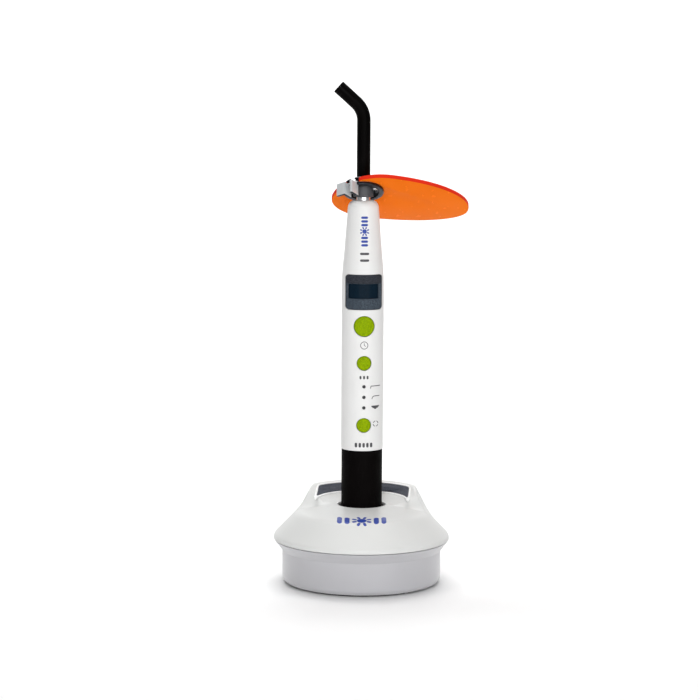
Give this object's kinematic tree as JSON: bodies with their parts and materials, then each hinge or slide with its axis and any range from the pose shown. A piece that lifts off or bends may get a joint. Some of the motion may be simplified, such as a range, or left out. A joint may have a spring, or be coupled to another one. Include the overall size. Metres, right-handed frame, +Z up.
{
  "type": "dental curing light",
  "caption": "Cordless pen-shaped dental curing light with a bent light guide and an orange glare shield, standing in a round charging base.",
  "frame": {"origin": "centre of the charging base's underside", "axes": "+Z up along the handpiece, the handpiece's buttons face -Y, +X to the right seen from the front"},
  "size_m": [0.117, 0.1048, 0.2988],
  "materials": {
    "dome_white": "satin gloss",
    "tray_grey": "fine texture",
    "pad_rubber": "matte",
    "screw_steel": "zinc plated",
    "liner_black": "gloss",
    "window_slate": "translucent, gloss",
    "pcb_green": "solder mask",
    "led_clear": "moulded",
    "chip_black": "matte",
    "contact_gold": "gold plated",
    "spring_steel": "drawn wire",
    "block_black": "moulded",
    "pack_black": "gloss",
    "cell_wrap": "shrink wrap",
    "body_white": "gloss",
    "lcd_bezel": "gloss",
    "lcd_glass": "gloss",
    "button_green": "gloss",
    "dot_black": "gloss",
    "sink_aluminium": "machined",
    "emitter_yellow": "phosphor",
    "reflector_chrome": "polished",
    "wire_red": "insulated",
    "bush_steel": "turned",
    "seal_rubber": "matte",
    "ferrule_steel": "polished",
    "sheath_black": "gloss",
    "fibre_glass": "polished ends",
    "collar_grey": "matte",
    "pin_steel": "ground",
    "clip_silver": "satin",
    "shield_orange": "polished",
    "print_blue": "pad print",
    "print_grey": "pad print"
  },
  "bodies": {
    "base": {"base_dome": "dome_white", "base_tray": "tray_grey", "non_slip_pad": "pad_rubber", "base_screws": "screw_steel", "socket_liner": "liner_black", "charge_window": "window_slate", "indicator_board": "pcb_green", "charge_leds": "led_clear", "charger_board": "pcb_green", "charger_chip": "chip_black", "board_screws": "screw_steel", "contact_block": "block_black", "contact_springs": "spring_steel", "dc_jack": "block_black"},
    "contact_pins": {"contact_pins": "contact_gold"},
    "battery_pack": {"battery_case": "pack_black", "battery_bottom_cap": "pack_black", "charge_contacts": "contact_gold", "battery_cell": "cell_wrap", "protection_board": "pcb_green", "battery_terminals": "contact_gold"},
    "handpiece": {"front_shell": "body_white", "rear_shell": "body_white", "shell_screws": "screw_steel", "lcd_window": "lcd_bezel", "lcd_module": "lcd_glass", "tact_switches": "chip_black", "mode_light_pipes": "dot_black", "main_board": "pcb_green", "microcontroller": "chip_black", "driver_inductor": "chip_black", "buzzer": "chip_black", "contact_holder": "block_black", "handpiece_contacts": "contact_gold", "heat_sink": "sink_aluminium", "led_board": "sink_aluminium", "led_emitter": "emitter_yellow", "reflector": "reflector_chrome", "led_wires": "wire_red", "guide_bush": "bush_steel"},
    "start_button": {"start_button": "button_green"},
    "set_button": {"set_button": "button_green"},
    "mode_button": {"mode_button": "button_green"},
    "guide_o_ring": {"guide_o_ring": "seal_rubber"},
    "light_guide": {"ferrule": "ferrule_steel", "guide_sheath": "sheath_black", "guide_core": "fibre_glass"},
    "clip_collar": {"clip_collar": "collar_grey", "pivot_pins": "pin_steel"},
    "glare_shield": {"clip_ring": "clip_silver", "shield_plate": "shield_orange"}
  },
  "joints": [
    {"name": "contact_pins_press", "type": "slide", "parent": "base", "child": "contact_pins", "axis": [0, 0, 1], "range_m": [-0.001, 0], "stiffness_N_per_m": 200, "deforming": ["contact_springs"]},
    {"name": "handpiece_lift", "type": "slide", "parent": "base", "child": "battery_pack", "axis": [0, 0, 1], "range_m": [0, 0.06]},
    {"name": "battery_release", "type": "slide", "parent": "battery_pack", "child": "handpiece", "axis": [0, 0, 1], "range_m": [0, 0.025]},
    {"name": "start_button_press", "type": "slide", "parent": "handpiece", "child": "start_button", "axis": [0, 1, 0], "range_m": [0, 0.0007], "stiffness_N_per_m": 600},
    {"name": "set_button_press", "type": "slide", "parent": "handpiece", "child": "set_button", "axis": [0, 1, 0], "range_m": [0, 0.0007], "stiffness_N_per_m": 600},
    {"name": "mode_button_press", "type": "slide", "parent": "handpiece", "child": "mode_button", "axis": [0, 1, 0], "range_m": [0, 0.0007], "stiffness_N_per_m": 600},
    {"name": "guide_pull", "type": "slide", "parent": "handpiece", "child": "guide_o_ring", "axis": [0, 0, 1], "range_m": [0, 0.022]},
    {"name": "guide_turn", "type": "hinge", "parent": "guide_o_ring", "child": "light_guide", "pos_m": [0, 0, 0.216], "axis": [0, 0, 1], "continuous": true},
    {"name": "shield_turn", "type": "hinge", "parent": "light_guide", "child": "clip_collar", "pos_m": [0, 0, 0.2362], "axis": [0, 0, 1], "continuous": true},
    {"name": "shield_tilt", "type": "hinge", "parent": "clip_collar", "child": "glare_shield", "pos_m": [0, 0, 0.2362], "axis": [0.9969, -0.0785, 0], "range_deg": [0, 30]}
  ]
}
